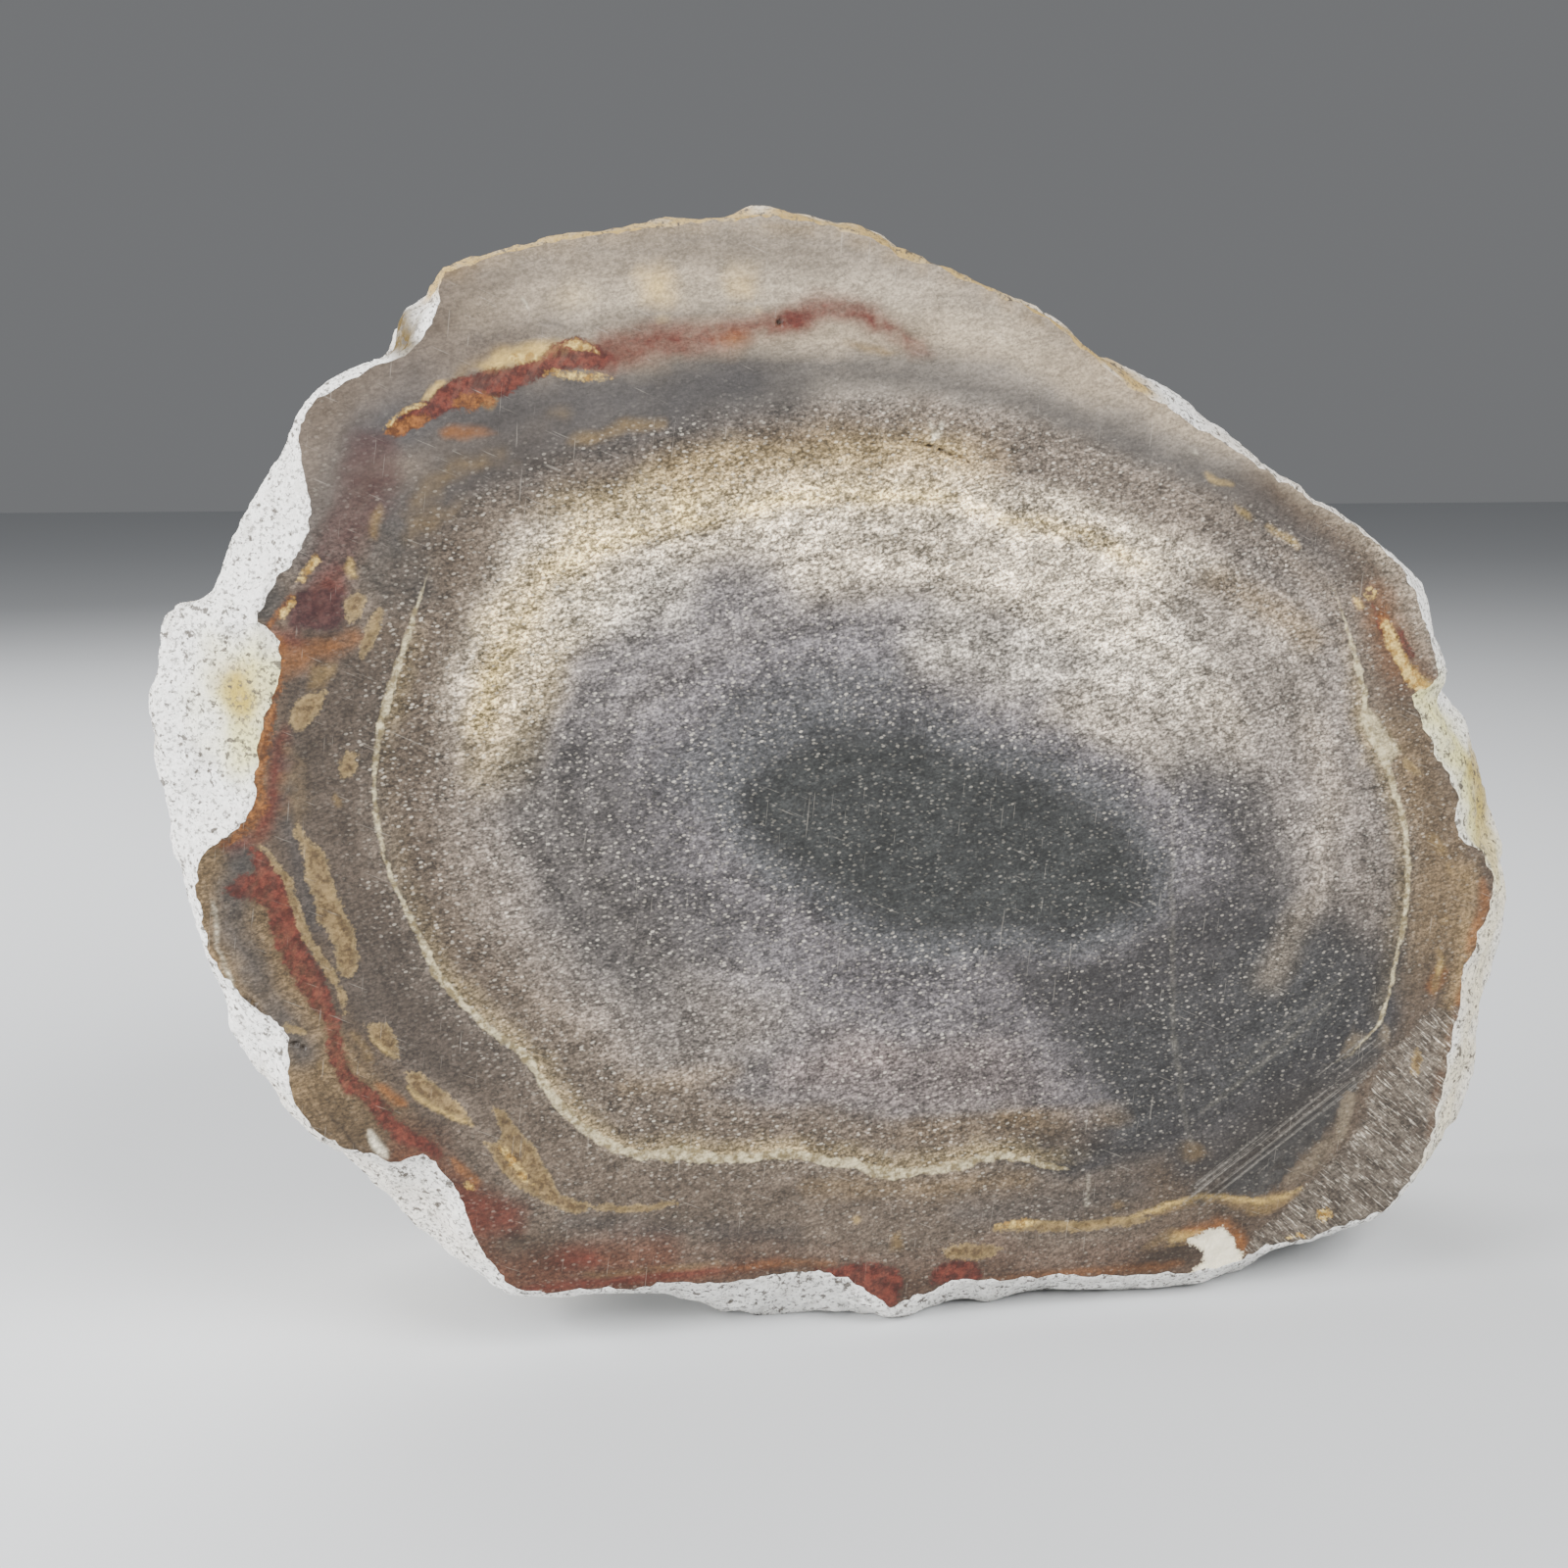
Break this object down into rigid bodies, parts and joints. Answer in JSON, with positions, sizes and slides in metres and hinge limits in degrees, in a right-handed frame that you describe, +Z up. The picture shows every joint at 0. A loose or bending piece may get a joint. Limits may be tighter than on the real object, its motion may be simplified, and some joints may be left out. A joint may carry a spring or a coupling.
{
  "type": "petrified wood slice",
  "caption": "Thick slab cut across a petrified log, with a polished front cut, a sawn back cut and a rough pale rind, standing on a flat ground foot.",
  "frame": {"origin": "middle of the slab's bounding box at its base, on the surface that it stands on", "axes": "+X to the right across the slab's width, +Y from the polished front cut to the back cut, +Z up"},
  "size_m": [0.1648, 0.044, 0.1282],
  "materials": {
    "silicified_wood": "satin"
  },
  "bodies": {
    "root": {"petrified_wood_slice": "silicified_wood"}
  },
  "joints": []
}
